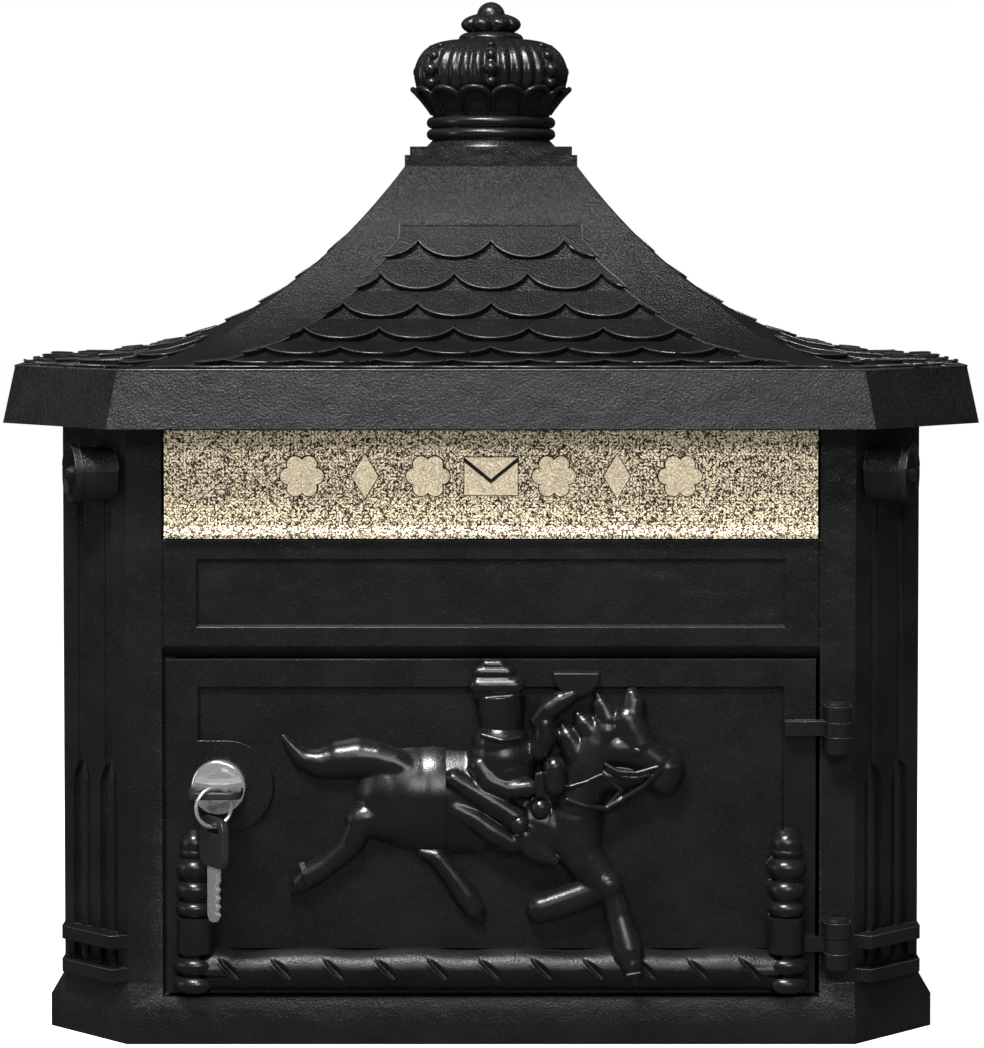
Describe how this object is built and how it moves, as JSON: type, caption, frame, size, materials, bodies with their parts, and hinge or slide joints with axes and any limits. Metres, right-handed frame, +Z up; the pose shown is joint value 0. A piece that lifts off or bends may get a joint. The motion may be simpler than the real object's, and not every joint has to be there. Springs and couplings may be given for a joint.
{
  "type": "wall mounted post box",
  "caption": "Wall mounted metal post box with fish-scale roof and crown finial, letter flap, and lockable door with horse relief, posts and rope rail.",
  "frame": {"origin": "centre of the four wall holes, on the back plate's wall face", "axes": "+Z up, +X to the right seen from the front, the front faces -Y, +Y into the wall"},
  "size_m": [0.402, 0.203, 0.4306],
  "materials": {
    "casting": "fine textured matte black powder coat on cast aluminium",
    "gloss_casting": "smooth satin black coat on cast aluminium",
    "brass_finish": "antique brass with a coarse stippled face",
    "black_steel": "black coated steel",
    "lock_chrome": "bright chrome plate",
    "key_steel": "nickel plated steel",
    "key_plastic": "moulded black plastic",
    "fastener_steel": "zinc plated steel"
  },
  "bodies": {
    "case": {"body_casting": "casting", "roof_casting": "casting", "back_plate": "casting", "back_plate_screws": "fastener_steel", "roof_screws": "fastener_steel", "finial": "gloss_casting", "finial_stud": "fastener_steel", "finial_washer": "fastener_steel", "finial_nut": "fastener_steel", "flap_pin": "fastener_steel", "flap_pin_clips": "fastener_steel", "hinge_pin_upper": "black_steel", "hinge_pin_lower": "black_steel"},
    "flap": {"letter_flap": "brass_finish"},
    "door": {"door": "casting", "door_ornament": "gloss_casting", "lock_housing": "lock_chrome", "lock_washer": "fastener_steel", "lock_nut": "fastener_steel"},
    "plug": {"lock_plug": "lock_chrome", "lock_cam": "fastener_steel", "cam_screw": "fastener_steel"},
    "key": {"key_blade": "key_steel", "key_head": "key_plastic"},
    "ring": {"key_ring": "key_steel"},
    "spare_key": {"spare_key_blade": "key_steel", "spare_key_head": "key_plastic"}
  },
  "joints": [
    {"name": "door_swing", "type": "hinge", "parent": "case", "child": "door", "pos_m": [0.1403, -0.1737, -0.045], "axis": [0, 0, 1], "range_deg": [0, 120]},
    {"name": "flap_lift", "type": "hinge", "parent": "case", "child": "flap", "pos_m": [0, -0.161, 0.1162], "axis": [-1, 0, 0], "range_deg": [0, 80]},
    {"name": "lock_turn", "type": "hinge", "parent": "door", "child": "plug", "pos_m": [-0.1106, -0.168, -0.0253], "axis": [0, 1, 0], "range_deg": [0, 90]},
    {"name": "key_pull", "type": "slide", "parent": "plug", "child": "key", "axis": [0, -1, 0], "range_m": [0, 0.03]},
    {"name": "key_ring_swing", "type": "hinge", "parent": "key", "child": "ring", "pos_m": [-0.1106, -0.1931, -0.0253], "axis": [0.866, 0.5, 0], "range_deg": [-4, 6]},
    {"name": "spare_key_swing", "type": "hinge", "parent": "ring", "child": "spare_key", "pos_m": [-0.1106, -0.1931, -0.03745], "axis": [0.866, 0.5, 0], "range_deg": [-6, 6]}
  ]
}
